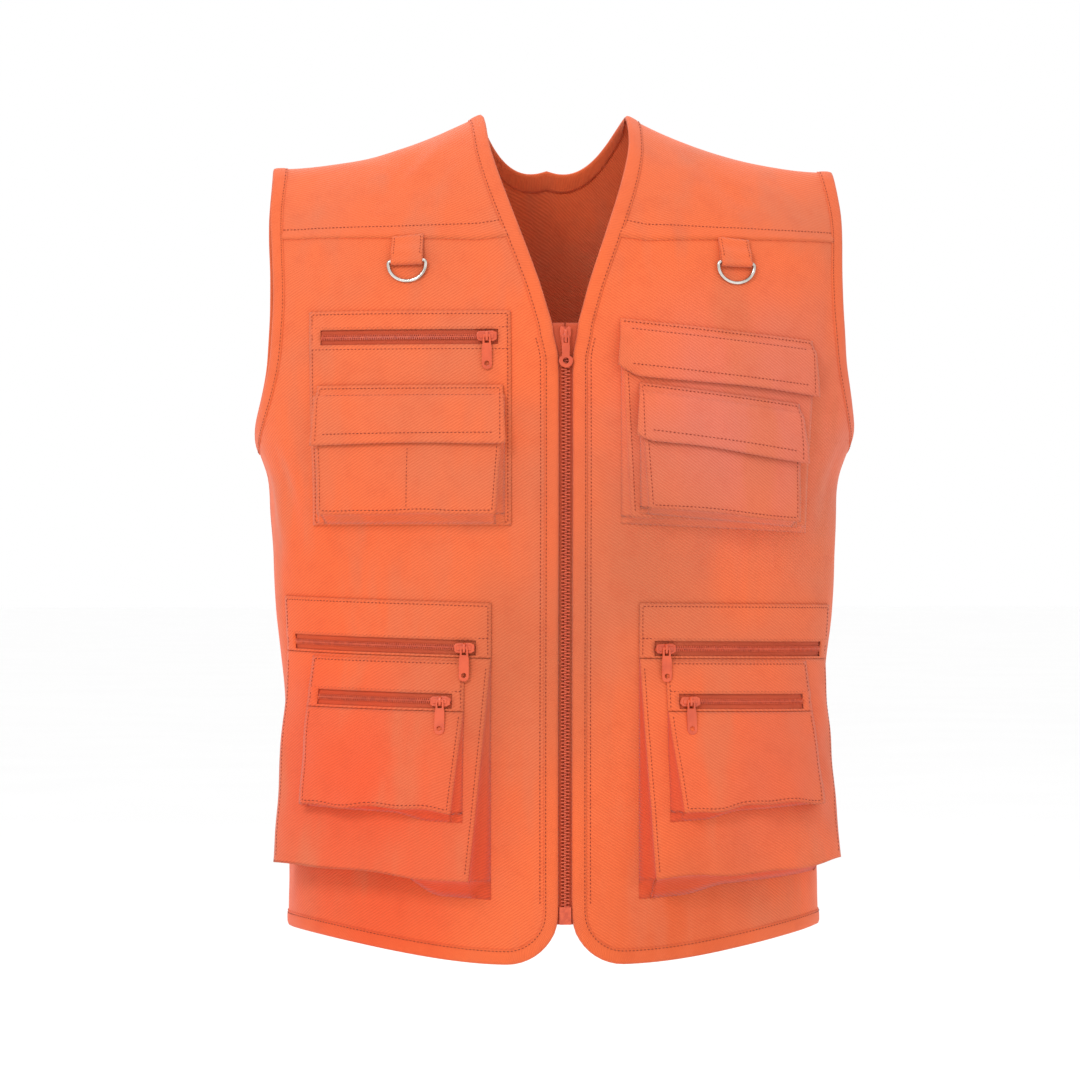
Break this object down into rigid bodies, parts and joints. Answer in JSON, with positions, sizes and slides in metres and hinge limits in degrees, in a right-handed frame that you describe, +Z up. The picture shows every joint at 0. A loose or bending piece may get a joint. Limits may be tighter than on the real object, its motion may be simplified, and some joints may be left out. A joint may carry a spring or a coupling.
{
  "type": "utility work vest",
  "caption": "Orange twill work vest, zip front with bound V neck, D-ring tabs, flapped chest pockets and wedge-shaped zipped lower pockets.",
  "frame": {"origin": "midway between the two points where the shoulder lines meet the neck opening", "axes": "+Z up along the length, front towards -Y, +X to the right of someone who looks at the front"},
  "size_m": [0.4926, 0.2591, 0.6877],
  "materials": {
    "twill": "matte",
    "binding": "matte",
    "zip_tape": "matte",
    "zip": "satin",
    "nickel": "polished"
  },
  "bodies": {
    "vest": {"back_panel": "twill", "back_neck_binding": "binding", "back_hem_binding": "binding", "front_panel_left": "twill", "front_yoke_left": "twill", "front_binding_left": "binding", "armhole_binding_left": "binding", "zip_tape_left": "zip_tape", "d_ring_tab_left": "twill", "lower_left_band": "twill", "lower_left_bag": "twill", "lower_left_small_band": "twill", "lower_left_small_bag": "twill", "lower_left_zip_teeth": "zip", "lower_left_zip_slider": "zip", "lower_left_small_zip_teeth": "zip", "lower_left_small_zip_slider": "zip", "front_panel_right": "twill", "front_yoke_right": "twill", "front_binding_right": "binding", "armhole_binding_right": "binding", "zip_tape_right": "zip_tape", "d_ring_tab_right": "twill", "lower_right_band": "twill", "lower_right_bag": "twill", "lower_right_small_band": "twill", "lower_right_small_bag": "twill", "lower_right_zip_teeth": "zip", "lower_right_zip_slider": "zip", "lower_right_small_zip_teeth": "zip", "lower_right_small_zip_slider": "zip", "zip_teeth": "zip", "zip_pin_box": "zip", "zip_slider": "zip", "chest_left_base": "twill", "chest_left_zip_teeth": "zip", "chest_left_zip_slider": "zip", "chest_left_bag": "twill", "chest_left_flap": "twill", "chest_right_bag": "twill", "chest_right_flap": "twill", "chest_right_front_bag": "twill", "chest_right_front_flap": "twill"},
    "lower_left_zip_puller_body": {"lower_left_zip_puller": "zip"},
    "lower_left_small_zip_puller_body": {"lower_left_small_zip_puller": "zip"},
    "lower_right_zip_puller_body": {"lower_right_zip_puller": "zip"},
    "lower_right_small_zip_puller_body": {"lower_right_small_zip_puller": "zip"},
    "zip_puller_body": {"zip_puller": "zip"},
    "chest_left_zip_puller_body": {"chest_left_zip_puller": "zip"},
    "d_ring_left_body": {"d_ring_left": "nickel"},
    "d_ring_right_body": {"d_ring_right": "nickel"}
  },
  "joints": [
    {"name": "lower_left_zip_puller_swing", "type": "hinge", "parent": "vest", "child": "lower_left_zip_puller_body", "pos_m": [-0.08079, -0.12331, -0.42773], "axis": [-0.991, 0.1336, 0.0057], "range_deg": [0, 140]},
    {"name": "lower_left_small_zip_puller_swing", "type": "hinge", "parent": "vest", "child": "lower_left_small_zip_puller_body", "pos_m": [-0.10019, -0.12567, -0.46979], "axis": [-0.9826, 0.1855, 0.0047], "range_deg": [0, 140]},
    {"name": "lower_right_zip_puller_swing", "type": "hinge", "parent": "vest", "child": "lower_right_zip_puller_body", "pos_m": [0.08079, -0.12326, -0.42861], "axis": [-0.991, -0.1337, -0.0056], "range_deg": [0, 140]},
    {"name": "lower_right_small_zip_puller_swing", "type": "hinge", "parent": "vest", "child": "lower_right_small_zip_puller_body", "pos_m": [0.10018, -0.12558, -0.47054], "axis": [-0.9826, -0.1856, -0.0046], "range_deg": [0, 140]},
    {"name": "zip_puller_swing", "type": "hinge", "parent": "vest", "child": "zip_puller_body", "pos_m": [0, -0.12579, -0.18033], "axis": [-1, -0.0007, 0.0001], "range_deg": [0, 140]},
    {"name": "chest_left_zip_puller_swing", "type": "hinge", "parent": "vest", "child": "chest_left_zip_puller_body", "pos_m": [-0.06296, -0.12658, -0.17997], "axis": [-0.9977, 0.0674, -0.0067], "range_deg": [0, 140]},
    {"name": "d_ring_left_swing", "type": "hinge", "parent": "vest", "child": "d_ring_left_body", "pos_m": [-0.12533, -0.10479, -0.11963], "axis": [-0.9847, 0.1698, -0.0384], "range_deg": [0, 110]},
    {"name": "d_ring_right_swing", "type": "hinge", "parent": "vest", "child": "d_ring_right_body", "pos_m": [0.13922, -0.10215, -0.1201], "axis": [-0.9789, -0.199, 0.046], "range_deg": [0, 110]}
  ]
}
